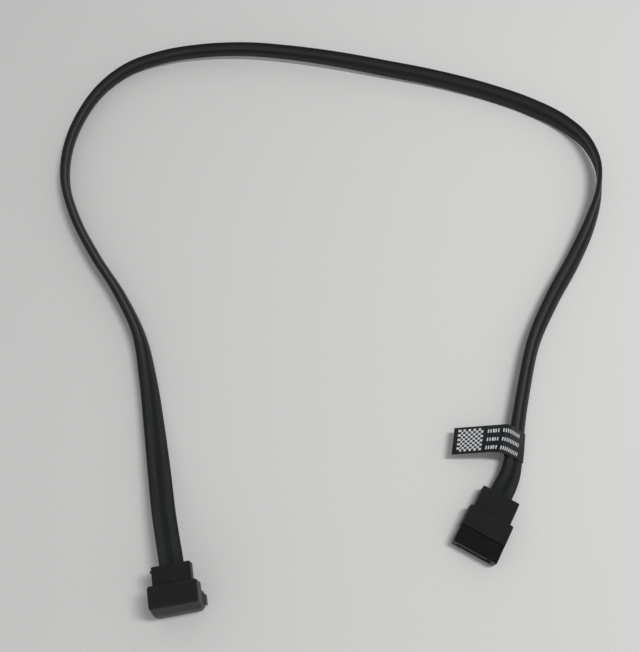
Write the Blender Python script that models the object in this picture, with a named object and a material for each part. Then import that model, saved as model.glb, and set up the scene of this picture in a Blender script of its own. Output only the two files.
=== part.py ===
"""A flat serial data cable for a hard disk: a two-lobed ribbon lying in a loop, with a right-angle plug
at one end, a straight plug at the other and a wrapped film label beside the straight plug.

Units are metres and +Z is up. The cable lies on the plane Z = 0, which both plugs touch. The origin is
the centre of the two plugs' footprint there, and +X runs from the right-angle plug to the straight one.
"""

import math

import bmesh
import bpy
import numpy as np
from mathutils import Matrix, Vector

# Clearance between pieces that are moulded or fitted together, and beside the fine metal parts.
FIT = 0.0003
FINE_FIT = 0.00015

# What both moulded grips share.
GRIP_WIDTH = 0.0143
GRIP_WALL = 0.00105
BOOT_HEIGHT = 0.0052
BOOT_EDGE = 0.0005
BOOT_ROOT = 0.0010
WIRE_ROOM_HEIGHT = 0.0026

# The ribbon: two screened pairs side by side under one jacket, with a groove between them on both faces.
RIBBON_WIDTH = 0.0072
RIBBON_THICKNESS = 0.0018
RIBBON_GROOVE_DEPTH = 0.0005
RIBBON_STEP = 0.0070
RIBBON_IN_BOOT = 0.0044

# The insulator that both plugs share: a block with an L-shaped slot, and a tongue held in the moulded grip.
HOUSING_WIDTH = 0.0142
HOUSING_THICKNESS = 0.0054
HOUSING_LENGTH = 0.0058
HOUSING_EDGE = 0.0003
TONGUE_WIDTH = GRIP_WIDTH - 2 * (GRIP_WALL + FIT)
TONGUE_THICKNESS = 0.0034
TONGUE_LENGTH = 0.0025
SLOT_WIDTH = 0.0108
SLOT_HEIGHT = 0.0017
SLOT_DEPTH = 0.0050
KEY_WIDTH = 0.0013
KEY_HEIGHT = 0.0011

# Seven stamped contacts in one row.
CONTACT_COUNT = 7
CONTACT_PITCH = 0.00127
CONTACT_WIDTH = 0.00065
CONTACT_THICKNESS = 0.00025
CONTACT_SETBACK = 0.0009
CONTACT_RISE = 0.00037
CONTACT_KNEE = 0.0005
CONTACT_TAIL = 0.0016
CONTACT_ROW = (CONTACT_COUNT - 1) * CONTACT_PITCH + CONTACT_WIDTH

# The wires that leave the ribbon inside each grip.
CORE_RADIUS = 0.00038
DRAIN_RADIUS = 0.00018
CORE_SPACING = 0.0013
WIRE_ROOM_SIDE = CONTACT_ROW / 2 + CORE_RADIUS + FIT
PAIR_SPACING = 0.0036
WIRE_GAP = 0.0002

# Where the plugs lie: the middle of the right-angle plug's front edge and of the straight one's mating face.
PLUG_SPACING = 0.0874
ANGLED_PLACE = (-0.0470, -0.0181)
STRAIGHT_PLACE = (ANGLED_PLACE[0] + PLUG_SPACING, -0.0009)

# The straight plug, which lies flat.
STRAIGHT_TURN = math.radians(-29.2)
STRAIGHT_GRIP_LENGTH = 0.0066
STRAIGHT_GRIP_HEIGHT = 0.0062
STRAIGHT_GRIP_EDGE = 0.0006
STRAIGHT_BOOT_LENGTH = 0.0073
STRAIGHT_BOOT_WIDTH = 0.0121

# The right-angle plug, which stands on its mating face, with a rib on each side of its insulator.
ANGLED_TURN = math.radians(10.2)
ANGLED_HEIGHT = 0.0150
ANGLED_GRIP_DEPTH = 0.0079
ANGLED_FRONT_LEAN = 0.0016
ANGLED_GRIP_EDGE = 0.0008
ANGLED_BOOT_LENGTH = 0.0053
ANGLED_BOOT_WIDTH = 0.0114
ANGLED_CABLE_HEIGHT = 0.0112
ANGLED_CORNER = 0.0011
ANGLED_RIB_PROUD = 0.0007
ANGLED_RIB_START = 0.0014
ANGLED_RIB_END = 0.0043
ANGLED_RIB_SLOPE = 0.0024

# The label: a strip of film folded round the ribbon, its two ends stuck together as a flag.
LABEL_HEIGHT = 0.0096
LABEL_FILM = 0.00015
LABEL_SLIT = 0.00010
LABEL_GAP = 0.00030
LABEL_ROOT = 0.0012
LABEL_FLAG = 0.0138
LABEL_FLAG_SKEW = 0.38
LABEL_FLAG_WAY = (-0.975, -0.015, -0.220)
LABEL_BEND_RADIUS = 0.0042
LABEL_BEND_SKEW = 0.33
LABEL_FROM_BOOT = 0.0175

# The ribbon's route from plug to plug: X, Y and Z of its middle in millimetres, and its turn about its
# own run in degrees, 0 where it lies flat. It stands on edge round the loop and turns over at the end.
ROUTE = (
    (-51.2, 1.9, 9.9, 0),
    (-53.3, 9.9, 8.4, -4),
    (-56.2, 23.4, 6.4, -20),
    (-59.5, 38.8, 4.5, -35),
    (-63.0, 54.8, 3.7, -50),
    (-67.5, 70.8, 3.6, -64),
    (-75.8, 86.5, 3.6, -67),
    (-86.2, 101.8, 3.6, -70),
    (-95.8, 118.9, 3.6, -76),
    (-100.9, 133.2, 3.6, -83),
    (-101.7, 148.7, 3.7, -90),
    (-98.5, 163.8, 3.7, -95),
    (-91.8, 177.5, 3.7, -97),
    (-82.3, 187.0, 3.8, -96),
    (-69.8, 192.2, 4.4, -95),
    (-53.3, 195.2, 4.9, -93),
    (-35.3, 195.7, 5.2, -90),
    (-17.3, 193.8, 5.2, -87),
    (0.7, 190.6, 5.1, -82),
    (19.7, 186.5, 4.6, -78),
    (40.2, 181.7, 4.1, -77),
    (59.7, 175.5, 3.6, -75),
    (75.2, 168.5, 3.6, -74),
    (86.7, 160.6, 4.1, -79),
    (94.7, 150.6, 4.9, -92),
    (97.7, 139.4, 5.3, -101),
    (96.3, 127.5, 5.1, -111),
    (91.7, 115.1, 4.2, -126),
    (84.2, 100.7, 3.2, -133),
    (74.4, 84.6, 3.3, -132),
    (66.4, 68.9, 3.4, -129),
    (61.3, 52.4, 3.4, -130),
    (57.8, 38.5, 3.3, -134),
    (55.9, 29.9, 3.3, -143),
    (53.7, 22.9, 3.2, -159),
)


def clear_scene():
    for obj in list(bpy.data.objects):
        bpy.data.objects.remove(obj, do_unlink=True)


def new_collection(name, hidden=False):
    collection = bpy.data.collections.new(name)
    collection.hide_render = hidden
    bpy.context.scene.collection.children.link(collection)
    return collection


clear_scene()
cable = new_collection("hard_disk_data_cable")
cutters = new_collection("cutters", hidden=True)


def moulded(name, hex_colour, roughness, metallic=0.0):
    """A plain material with the piece's colour, given as an sRGB hex value."""
    channels = [int(hex_colour[i : i + 2], 16) / 255 for i in (0, 2, 4)]
    linear = [c / 12.92 if c <= 0.04045 else ((c + 0.055) / 1.055) ** 2.4 for c in channels]
    material = bpy.data.materials.new(name)
    material.use_nodes = True
    shader = material.node_tree.nodes["Principled BSDF"]
    shader.inputs["Base Color"].default_value = (*linear, 1.0)
    shader.inputs["Roughness"].default_value = roughness
    shader.inputs["Metallic"].default_value = metallic
    return material


def add(name, data, place=None):
    """A visible piece in the cable's collection, carried by its plug's empty."""
    obj = bpy.data.objects.new(name, data)
    obj.parent = place
    cable.objects.link(obj)
    return obj


def hide(obj, place=None):
    """A cutter or a guide: out of the render, drawn as wire, and carried with what it shapes."""
    for collection in list(obj.users_collection):
        collection.objects.unlink(obj)
    cutters.objects.link(obj)
    obj.parent = place
    obj.hide_render = True
    obj.display_type = "WIRE"
    return obj


def box_mesh(name, low, high):
    """A block between two corners, with its size in its mesh."""
    mesh = bpy.data.meshes.new(name)
    shape = bmesh.new()
    bmesh.ops.create_cube(shape, size=1.0)
    low, high = Vector(low), Vector(high)
    size = Matrix.Diagonal((*(high - low), 1.0))
    shape.transform(Matrix.Translation((low + high) / 2) @ size)
    shape.to_mesh(mesh)
    shape.free()
    return mesh


# How a drawn outline turns: extruded along X it spans Y and Z, and extruded along Y it spans X and Z.
OUTLINE_TURN = {
    "X": Matrix(((0, 0, 1, 0), (1, 0, 0, 0), (0, 1, 0, 0), (0, 0, 0, 1))),
    "Y": Matrix(((1, 0, 0, 0), (0, 0, -1, 0), (0, 1, 0, 0), (0, 0, 0, 1))),
}


def outline_mesh(name, outline, low, high, axis):
    """A flat outline extruded along an axis from low to high, as a mesh with its caps welded."""
    curve = bpy.data.curves.new(name, "CURVE")
    curve.dimensions = "2D"
    curve.fill_mode = "BOTH"
    curve.extrude = (high - low) / 2
    spline = curve.splines.new("POLY")
    spline.points.add(len(outline) - 1)
    for point, (first, second) in zip(spline.points, outline):
        point.co = (first, second, 0.0, 1.0)
    spline.use_cyclic_u = True
    drawn = bpy.data.objects.new(name + "_outline", curve)
    bpy.context.scene.collection.objects.link(drawn)
    bpy.context.view_layer.update()
    graph = bpy.context.evaluated_depsgraph_get()
    mesh = bpy.data.meshes.new_from_object(drawn.evaluated_get(graph))
    mesh.name = name
    bpy.data.objects.remove(drawn, do_unlink=True)
    shape = bmesh.new()
    shape.from_mesh(mesh)
    bmesh.ops.remove_doubles(shape, verts=shape.verts, dist=1e-6)
    bmesh.ops.dissolve_limit(shape, angle_limit=0.001, verts=shape.verts, edges=shape.edges)
    along_axis = Vector((1, 0, 0)) if axis == "X" else Vector((0, 1, 0))
    shape.transform(Matrix.Translation(along_axis * (low + high) / 2) @ OUTLINE_TURN[axis])
    bmesh.ops.recalc_face_normals(shape, faces=shape.faces)
    shape.to_mesh(mesh)
    shape.free()
    return mesh


def round_edges(mesh, width, segments, chosen):
    """Bevels the edges that chosen picks by their two end points."""
    shape = bmesh.new()
    shape.from_mesh(mesh)
    edges = [edge for edge in shape.edges if chosen(edge.verts[0].co, edge.verts[1].co)]
    bmesh.ops.bevel(shape, geom=edges, offset=width, segments=segments, profile=0.5, affect="EDGES")
    shape.to_mesh(mesh)
    shape.free()


def combine(obj, other, operation):
    modifier = obj.modifiers.new(other.name, "BOOLEAN")
    modifier.operation = operation
    modifier.object = other


def cut_box(obj, name, low, high, place):
    combine(obj, hide(bpy.data.objects.new(name, box_mesh(name, low, high)), place), "DIFFERENCE")


def plug_place(name, place, turn):
    empty = bpy.data.objects.new(name, None)
    empty.location = (*place, 0.0)
    empty.rotation_euler = (0.0, 0.0, turn)
    cable.objects.link(empty)
    return empty


straight_place = plug_place("straight_plug_place", STRAIGHT_PLACE, STRAIGHT_TURN)
angled_place = plug_place("angled_plug_place", ANGLED_PLACE, ANGLED_TURN)
bpy.context.view_layer.update()

JACKET = moulded("ribbon_jacket_pvc", "2C2F2F", 0.42)
GRIP = moulded("grip_overmould_pvc", "252526", 0.55)
INSULATOR = moulded("insulator_nylon", "1B1B1C", 0.45)
CONTACT_METAL = moulded("gold_flashed_bronze", "C9A45A", 0.3, 1.0)
CORE_SLEEVE = moulded("core_sleeve_polyethylene", "D8D4C8", 0.45)
DRAIN_METAL = moulded("tinned_copper", "B9B9B5", 0.35, 1.0)
LABEL_FACE = moulded("printed_polyester_film", "14181B", 0.4)


# Both plugs are drawn in their own frame: X across, Y towards the cable, Z up. The flat of a contact lies
# half sunk in the slot's lower wall.
TONGUE_END = HOUSING_LENGTH + TONGUE_LENGTH
CONTACT_OFFSET = -SLOT_HEIGHT / 2
STRAIGHT_MIDDLE = STRAIGHT_GRIP_HEIGHT / 2
STRAIGHT_GRIP_START = HOUSING_LENGTH + FIT
STRAIGHT_GRIP_END = STRAIGHT_GRIP_START + STRAIGHT_GRIP_LENGTH
STRAIGHT_EXIT = STRAIGHT_GRIP_END + STRAIGHT_BOOT_LENGTH
ANGLED_MIDDLE = HOUSING_THICKNESS / 2
ANGLED_GRIP_BASE = HOUSING_LENGTH + FIT
ANGLED_EXIT = ANGLED_GRIP_DEPTH + ANGLED_BOOT_LENGTH
# The wires lie on the contacts' tails, level with the ribbon's middle in the right-angle plug.
ANGLED_TAIL_HEIGHT = ANGLED_CABLE_HEIGHT - CORE_RADIUS - FINE_FIT - CONTACT_THICKNESS / 2
ANGLED_TAIL_END = ANGLED_EXIT - RIBBON_IN_BOOT - WIRE_GAP - CONTACT_TAIL / 2


def housing_frame(upright):
    """Takes a depth from the mating face and an offset from the slot's middle to the plug's own frame."""
    if upright:
        return Matrix.Translation((0, ANGLED_MIDDLE, 0)) @ Matrix.Rotation(math.radians(90), 4, "X")
    return Matrix.Translation((0, 0, STRAIGHT_MIDDLE))


def make_housing(name, place, upright):
    """The insulator block: its slot takes the drive's tongue, and its troughs carry the contacts."""
    to_plug = housing_frame(upright)
    half = HOUSING_THICKNESS / 2
    body = box_mesh(name, (-HOUSING_WIDTH / 2, 0, -half), (HOUSING_WIDTH / 2, HOUSING_LENGTH, half))
    if upright:
        round_edges(body, ANGLED_CORNER, 1, lambda a, b: min(a.x, b.x, a.z, b.z) > FIT)
    round_edges(body, HOUSING_EDGE, 2, lambda a, b: abs(a.y - b.y) > half or max(a.y, b.y) < FIT)
    body.transform(to_plug)
    housing = add(name, body, place)

    tongue_low = (-TONGUE_WIDTH / 2, HOUSING_LENGTH / 2, -TONGUE_THICKNESS / 2)
    tongue_high = (TONGUE_WIDTH / 2, TONGUE_END, TONGUE_THICKNESS / 2)
    tongue = box_mesh(name + "_tongue", tongue_low, tongue_high)
    tongue.transform(to_plug)
    combine(housing, hide(bpy.data.objects.new(name + "_tongue", tongue), place), "UNION")

    side, top = SLOT_WIDTH / 2, SLOT_HEIGHT / 2
    slot = [
        (-side, -top),
        (side, -top),
        (side, top + KEY_HEIGHT),
        (side - KEY_WIDTH, top + KEY_HEIGHT),
        (side - KEY_WIDTH, top),
        (-side, top),
    ]
    slot = outline_mesh(name + "_slot", slot, -FIT, SLOT_DEPTH, "Y")
    slot.transform(to_plug)
    combine(housing, hide(bpy.data.objects.new(name + "_slot", slot), place), "DIFFERENCE")

    trough_side = CONTACT_WIDTH / 2 + FINE_FIT
    trough_half = CONTACT_THICKNESS / 2 + FINE_FIT
    for number in range(CONTACT_COUNT):
        middle = (number - (CONTACT_COUNT - 1) / 2) * CONTACT_PITCH
        trough_low = (middle - trough_side, CONTACT_SETBACK - FIT, CONTACT_OFFSET - trough_half)
        trough_high = (middle + trough_side, TONGUE_END + FIT, CONTACT_OFFSET + trough_half)
        trough = box_mesh(f"{name}_trough_{number + 1}", trough_low, trough_high)
        trough.transform(to_plug)
        combine(housing, hide(bpy.data.objects.new(trough.name, trough), place), "DIFFERENCE")
    housing.data.materials.append(INSULATOR)
    return housing


def add_side_ribs(housing, place):
    """One bar across the insulator, whose sloped ends stand proud of its sides, joined before the cuts."""
    side, flush = HOUSING_WIDTH / 2 + ANGLED_RIB_PROUD, HOUSING_WIDTH / 2 - FINE_FIT
    shoulder = HOUSING_LENGTH - ANGLED_RIB_SLOPE
    right = [(side, 0.0), (side, shoulder), (flush, HOUSING_LENGTH)]
    outline = right + [(-x, z) for x, z in reversed(right)]
    bar = outline_mesh(housing.name + "_ribs", outline, ANGLED_RIB_START, ANGLED_RIB_END, "Y")
    combine(housing, hide(bpy.data.objects.new(bar.name, bar), place), "UNION")
    housing.modifiers.move(len(housing.modifiers) - 1, 0)


def strip_outline(path, thickness):
    """The outline of a bent strip of even thickness along a path."""
    path = np.array(path)
    run = np.diff(path, axis=0)
    run /= np.linalg.norm(run, axis=1)[:, None]
    left = np.column_stack((-run[:, 1], run[:, 0]))
    corner = np.vstack((left[:1], left[:-1] + left[1:], left[-1:]))
    corner /= np.linalg.norm(corner, axis=1)[:, None]
    share = np.einsum("ij,ij->i", corner, np.vstack((left[:1], left[1:], left[-1:])))
    offset = corner * (thickness / 2 / share)[:, None]
    return [tuple(p) for p in np.vstack((path + offset, (path - offset)[::-1]))]


# A contact's sprung part, as depth from the mating face and offset from the slot's middle.
SPRING_PATH = (
    (CONTACT_SETBACK, CONTACT_OFFSET),
    (SLOT_DEPTH * 0.36, CONTACT_OFFSET + CONTACT_RISE * 0.5),
    (SLOT_DEPTH * 0.52, CONTACT_OFFSET + CONTACT_RISE),
    (SLOT_DEPTH * 0.70, CONTACT_OFFSET + CONTACT_RISE * 0.4),
    (SLOT_DEPTH * 0.86, CONTACT_OFFSET),
)


def make_contacts(prefix, place, upright):
    """Seven stamped blades: sprung in the slot, flat through the trough, with a tail for the wires."""
    if upright:
        path = [(ANGLED_MIDDLE - offset, depth) for depth, offset in SPRING_PATH]
        at, knee, bend = ANGLED_MIDDLE - CONTACT_OFFSET, ANGLED_TAIL_HEIGHT, CONTACT_KNEE
        path += [(at, knee - bend), (at + 0.3 * bend, knee - 0.3 * bend), (at + bend, knee)]
        path += [(ANGLED_TAIL_END, knee)]
    else:
        path = [(depth, STRAIGHT_MIDDLE + offset) for depth, offset in SPRING_PATH]
        path += [(TONGUE_END + CONTACT_TAIL, STRAIGHT_MIDDLE + CONTACT_OFFSET)]
    outline = strip_outline(path, CONTACT_THICKNESS)
    for number in range(CONTACT_COUNT):
        middle = (number - (CONTACT_COUNT - 1) / 2) * CONTACT_PITCH
        name = f"{prefix}_contact_{number + 1}"
        blade = outline_mesh(name, outline, middle - CONTACT_WIDTH / 2, middle + CONTACT_WIDTH / 2, "X")
        add(name, blade, place).data.materials.append(CONTACT_METAL)


def make_wires(prefix, place, upright):
    """Two cores from each pair, and a drain wire at each side and in the middle, laid on the tails."""
    if upright:
        start, end = ANGLED_EXIT - RIBBON_IN_BOOT - WIRE_GAP, ANGLED_TAIL_END - CONTACT_TAIL
        high = ANGLED_CABLE_HEIGHT
        tail_top = ANGLED_TAIL_HEIGHT + CONTACT_THICKNESS / 2
    else:
        start, end = STRAIGHT_EXIT - RIBBON_IN_BOOT - WIRE_GAP, TONGUE_END + FIT
        high = STRAIGHT_MIDDLE
        tail_top = STRAIGHT_MIDDLE + CONTACT_OFFSET + CONTACT_THICKNESS / 2
    contact = [(n - (CONTACT_COUNT - 1) / 2) * CONTACT_PITCH for n in range(CONTACT_COUNT)]
    near, far = PAIR_SPACING / 2 - CORE_SPACING / 2, PAIR_SPACING / 2 + CORE_SPACING / 2
    edge = RIBBON_WIDTH / 2 - DRAIN_RADIUS - FIT
    wires = [("core", -far, 1), ("core", -near, 2), ("core", near, 4), ("core", far, 5)]
    wires += [("drain", -edge, 0), ("drain", 0.0, 3), ("drain", edge, 6)]
    counts = {"core": 0, "drain": 0}
    for kind, from_x, slot in wires:
        counts[kind] += 1
        radius = CORE_RADIUS if kind == "core" else DRAIN_RADIUS
        low = tail_top + FINE_FIT + radius
        quarter = (start - end) / 4
        to_x = contact[slot]
        route = [
            (from_x, start, high),
            (from_x, start - quarter * 0.5, high),
            ((from_x + to_x) / 2, start - quarter * 1.4, (high + low) / 2),
            (to_x, start - quarter * 2.3, low),
            (to_x, end, low),
        ]
        name = f"{prefix}_{kind}_wire_{counts[kind]}"
        wire = add(name, tube_curve(name, route, radius), place)
        wire.data.materials.append(CORE_SLEEVE if kind == "core" else DRAIN_METAL)


def tube_curve(name, route, radius):
    curve = bpy.data.curves.new(name, "CURVE")
    curve.dimensions = "3D"
    curve.bevel_depth = radius
    curve.bevel_resolution = 1
    curve.use_fill_caps = True
    spline = curve.splines.new("POLY")
    spline.points.add(len(route) - 1)
    for point, place in zip(spline.points, route):
        point.co = (*place, 1.0)
    return curve


def make_boot(name, place, width, start, end, middle):
    """The strain relief behind the grip, one moulding with it, with a channel for the ribbon."""
    half = BOOT_HEIGHT / 2
    boot = box_mesh(name, (-width / 2, start - BOOT_ROOT, middle - half), (width / 2, end, middle + half))
    round_edges(boot, BOOT_EDGE, 2, lambda a, b: abs(a.y - b.y) > half or min(a.y, b.y) > end - FIT)
    return hide(bpy.data.objects.new(name, boot), place)


def hollow_grip(grip, name, place, room_start, grip_end, exit_at, middle):
    """Opens the room where the wires are soldered and the ribbon's channel behind it."""
    room_half = WIRE_ROOM_HEIGHT / 2
    ribbon_end = exit_at - RIBBON_IN_BOOT
    room_end = ribbon_end - FIT
    room_low = (-WIRE_ROOM_SIDE, room_start, middle - room_half)
    room_high = (WIRE_ROOM_SIDE, min(room_end, grip_end), middle + room_half)
    cut_box(grip, name + "_wire_room", room_low, room_high, place)
    side = RIBBON_WIDTH / 2 + FIT
    half = RIBBON_THICKNESS / 2 + FIT
    low = (-side, min(room_end, grip_end) - FIT, middle - half)
    cut_box(grip, name + "_ribbon_channel", low, (side, exit_at + FIT, middle + half), place)


def make_straight_grip():
    """A flat block with its boot, moulded over the insulator's tongue."""
    name = "straight_plug_overmould"
    low = (-GRIP_WIDTH / 2, STRAIGHT_GRIP_START, 0.0)
    body = box_mesh(name, low, (GRIP_WIDTH / 2, STRAIGHT_GRIP_END, STRAIGHT_GRIP_HEIGHT))
    upper, back = STRAIGHT_GRIP_HEIGHT / 2, STRAIGHT_GRIP_END - FIT
    round_edges(body, STRAIGHT_GRIP_EDGE, 3, lambda a, b: min(a.z, b.z) > upper or min(a.y, b.y) > back)
    grip = add(name, body, straight_place)
    span = (STRAIGHT_GRIP_END, STRAIGHT_EXIT)
    boot = make_boot("straight_plug_boot", straight_place, STRAIGHT_BOOT_WIDTH, *span, STRAIGHT_MIDDLE)
    combine(grip, boot, "UNION")
    seat_side, seat_half = TONGUE_WIDTH / 2 + FIT, TONGUE_THICKNESS / 2 + FIT
    seat_end = TONGUE_END + FIT
    seat_low = (-seat_side, STRAIGHT_GRIP_START - FIT, STRAIGHT_MIDDLE - seat_half)
    seat_high = (seat_side, seat_end, STRAIGHT_MIDDLE + seat_half)
    cut_box(grip, name + "_seat", seat_low, seat_high, straight_place)
    room_start = seat_end - FIT
    hollow_grip(grip, name, straight_place, room_start, STRAIGHT_GRIP_END, STRAIGHT_EXIT, STRAIGHT_MIDDLE)
    grip.data.materials.append(GRIP)


def make_angled_grip():
    """A tall block over the insulator, its upper front leaning back, the boot at the cable's height."""
    name = "angled_plug_overmould"
    seat_top = TONGUE_END + FIT
    profile = [
        (0.0, ANGLED_GRIP_BASE),
        (ANGLED_GRIP_DEPTH, ANGLED_GRIP_BASE),
        (ANGLED_GRIP_DEPTH, ANGLED_HEIGHT),
        (ANGLED_FRONT_LEAN, ANGLED_HEIGHT),
        (0.0, seat_top),
    ]
    body = outline_mesh(name, profile, -GRIP_WIDTH / 2, GRIP_WIDTH / 2, "X")
    base = ANGLED_GRIP_BASE + FIT
    round_edges(body, ANGLED_GRIP_EDGE, 3, lambda a, b: max(a.z, b.z) > base)
    grip = add(name, body, angled_place)
    span = (ANGLED_GRIP_DEPTH, ANGLED_EXIT)
    boot = make_boot("angled_plug_boot", angled_place, ANGLED_BOOT_WIDTH, *span, ANGLED_CABLE_HEIGHT)
    combine(grip, boot, "UNION")
    seat_side, seat_half = TONGUE_WIDTH / 2 + FIT, TONGUE_THICKNESS / 2 + FIT
    seat_low = (-seat_side, ANGLED_MIDDLE - seat_half, ANGLED_GRIP_BASE - FIT)
    seat_high = (seat_side, ANGLED_MIDDLE + seat_half, seat_top)
    cut_box(grip, name + "_seat", seat_low, seat_high, angled_place)
    blade_back = ANGLED_MIDDLE - CONTACT_OFFSET - CONTACT_THICKNESS / 2 - FIT
    shaft_low = (-WIRE_ROOM_SIDE, blade_back, seat_top - FIT)
    shaft_high = (WIRE_ROOM_SIDE, blade_back + WIRE_ROOM_HEIGHT, ANGLED_CABLE_HEIGHT + FIT)
    cut_box(grip, name + "_contact_shaft", shaft_low, shaft_high, angled_place)
    hollow_grip(grip, name, angled_place, blade_back, ANGLED_GRIP_DEPTH, ANGLED_EXIT, ANGLED_CABLE_HEIGHT)
    grip.data.materials.append(GRIP)


make_housing("straight_plug_housing", straight_place, upright=False)
make_contacts("straight_plug", straight_place, upright=False)
make_wires("straight_plug", straight_place, upright=False)
make_straight_grip()
add_side_ribs(make_housing("angled_plug_housing", angled_place, upright=True), angled_place)
make_contacts("angled_plug", angled_place, upright=True)
make_wires("angled_plug", angled_place, upright=True)
make_angled_grip()


def boot_ends(place, exit_at, height):
    """The ribbon's end inside a boot and its place at the boot's mouth, in the object's frame."""
    inside = place.matrix_world @ Vector((0.0, exit_at - RIBBON_IN_BOOT, height))
    mouth = place.matrix_world @ Vector((0.0, exit_at, height))
    return inside, mouth


def whole_route():
    """The chosen points between the two straight ends that sit in the boots, as metres and radians."""
    inside, mouth = boot_ends(angled_place, ANGLED_EXIT, ANGLED_CABLE_HEIGHT)
    points = [(*inside, 0.0), (*mouth, 0.0)]
    points += [(x / 1000, y / 1000, z / 1000, math.radians(turn)) for x, y, z, turn in ROUTE]
    inside, mouth = boot_ends(straight_place, STRAIGHT_EXIT, STRAIGHT_MIDDLE)
    points += [(*mouth, -math.pi), (*inside, -math.pi)]
    return np.array(points)


def smooth(points, step):
    """Even points on the smooth curve through the chosen ones, their turn read along with them."""
    reach = np.linalg.norm(np.diff(points[:, :3], axis=0), axis=1)
    at = np.concatenate(([0.0], np.cumsum(reach)))
    slope = np.gradient(points, at, axis=0)
    fine_at = np.linspace(0.0, at[-1], 40 * len(points))
    index = np.clip(np.searchsorted(at, fine_at, side="right") - 1, 0, len(at) - 2)
    span = (at[index + 1] - at[index])[:, None]
    t = (fine_at - at[index])[:, None] / span
    fine = (
        (2 * t**3 - 3 * t**2 + 1) * points[index]
        + (t**3 - 2 * t**2 + t) * span * slope[index]
        + (3 * t**2 - 2 * t**3) * points[index + 1]
        + (t**3 - t**2) * span * slope[index + 1]
    )
    run = np.concatenate(([0.0], np.cumsum(np.linalg.norm(np.diff(fine[:, :3], axis=0), axis=1))))
    even = np.linspace(0.0, run[-1], max(2, round(run[-1] / step)) + 1)
    return np.column_stack([np.interp(even, run, column) for column in fine.T]), even


def section_object(name, outline):
    """A closed outline that a sweep carries along its run."""
    curve = bpy.data.curves.new(name, "CURVE")
    curve.dimensions = "2D"
    curve.fill_mode = "NONE"
    spline = curve.splines.new("POLY")
    spline.points.add(len(outline) - 1)
    for point, (across, through) in zip(spline.points, outline):
        point.co = (across, through, 0.0, 1.0)
    spline.use_cyclic_u = True
    return hide(bpy.data.objects.new(name, curve))


def sweep(name, points, section, material):
    """Carries a section along a run, turned about the run by each point's own turn."""
    curve = bpy.data.curves.new(name, "CURVE")
    curve.dimensions = "3D"
    curve.twist_mode = "Z_UP"
    curve.bevel_mode = "OBJECT"
    curve.bevel_object = section
    curve.use_fill_caps = True
    spline = curve.splines.new("POLY")
    spline.points.add(len(points) - 1)
    for point, (x, y, z, turn) in zip(spline.points, points):
        point.co = (x, y, z, 1.0)
        point.tilt = -turn
    add(name, curve).data.materials.append(material)


def ribbon_section():
    """Round sides, and a shallow groove along the middle of each face, between the two pairs."""
    half, edge = RIBBON_WIDTH / 2, RIBBON_THICKNESS / 2
    arc = [math.radians(a) for a in (90, 54, 18, -18, -54, -90)]
    right = [(half - edge + edge * math.cos(a), edge * math.sin(a)) for a in arc]
    lip, floor = RIBBON_GROOVE_DEPTH * 2, RIBBON_GROOVE_DEPTH - edge
    groove = [(lip, -edge), (0.0, floor), (-lip, -edge)]
    left = [(-x, -y) for x, y in right]
    return right + groove + left + [(-x, -y) for x, y in groove]


route, along = smooth(whole_route(), RIBBON_STEP)
ribbon_outline = section_object("ribbon_section", ribbon_section())
sweep("ribbon_cable", route, ribbon_outline, JACKET)


def on_route(at):
    return np.array([np.interp(at, along, column) for column in route.T])


def station(at):
    """The ribbon's middle at a distance along it, the way it runs, and the ways across and through it."""
    here = on_route(at)
    run = Vector(on_route(at + RIBBON_STEP / 7)[:3] - here[:3]).normalized()
    side = run.cross(Vector((0, 0, 1))).normalized()
    lift = side.cross(run)
    turn = here[3]
    across = side * math.cos(turn) + lift * math.sin(turn)
    through = lift * math.cos(turn) - side * math.sin(turn)
    return Vector(here[:3]), run, across, through


label_start = along[-1] - RIBBON_IN_BOOT - LABEL_FROM_BOOT - LABEL_HEIGHT / 2


def label_ring(at):
    """The film's outline at one station: along the flag, round the ribbon and back along the flag."""
    middle, run, across, through = station(at)
    inner = RIBBON_THICKNESS / 2 + LABEL_GAP
    side = (RIBBON_WIDTH - RIBBON_THICKNESS) / 2
    below = at - label_start - LABEL_HEIGHT / 2
    root = RIBBON_WIDTH / 2 + LABEL_GAP + LABEL_ROOT
    point = middle - across * root - through * (inner - LABEL_SLIT / 2)
    start, end = -across, Vector(LABEL_FLAG_WAY).normalized()
    bend, turns = start.angle(end), 4
    flag = [(point, start)]
    for step in range(1, turns + 1):
        way = start.slerp(end, step / turns)
        point = point + way * ((LABEL_BEND_RADIUS + LABEL_BEND_SKEW * below) * bend / turns)
        flag.append((point, way))
    flag.append((point + end * (LABEL_FLAG - LABEL_FLAG_SKEW * below), end))

    def ply(offset):
        return [place + way.cross(run).normalized() * offset for place, way in flag]

    def wrap(reach):
        arc = [math.radians(a) for a in (-90, -45, 0, 45, 90)]
        turned = [(side + reach * math.cos(a), reach * math.sin(a)) for a in arc]
        back = [math.radians(a) for a in (90, 120, 150)]
        round_back = [(-side + reach * math.cos(a), reach * math.sin(a)) for a in back]
        return [middle + across * x + through * y for x, y in [(-side, -reach)] + turned + round_back]

    near, far = LABEL_SLIT / 2, LABEL_SLIT / 2 + LABEL_FILM
    outside = ply(far)[::-1] + wrap(inner + LABEL_FILM) + ply(-far)
    inside = ply(-near)[::-1] + wrap(inner)[::-1] + ply(near)
    return outside + inside


def loft(name, rings):
    """A closed solid over rings that have the same number of points."""
    shape = bmesh.new()
    rings = [[shape.verts.new(point) for point in ring] for ring in rings]
    for ring, after in zip(rings, rings[1:]):
        for i in range(len(ring)):
            shape.faces.new((ring[i - 1], ring[i], after[i], after[i - 1]))
    shape.faces.new(rings[0])
    shape.faces.new(rings[-1][::-1])
    bmesh.ops.recalc_face_normals(shape, faces=shape.faces)
    mesh = bpy.data.meshes.new(name)
    shape.to_mesh(mesh)
    shape.free()
    return mesh


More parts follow.
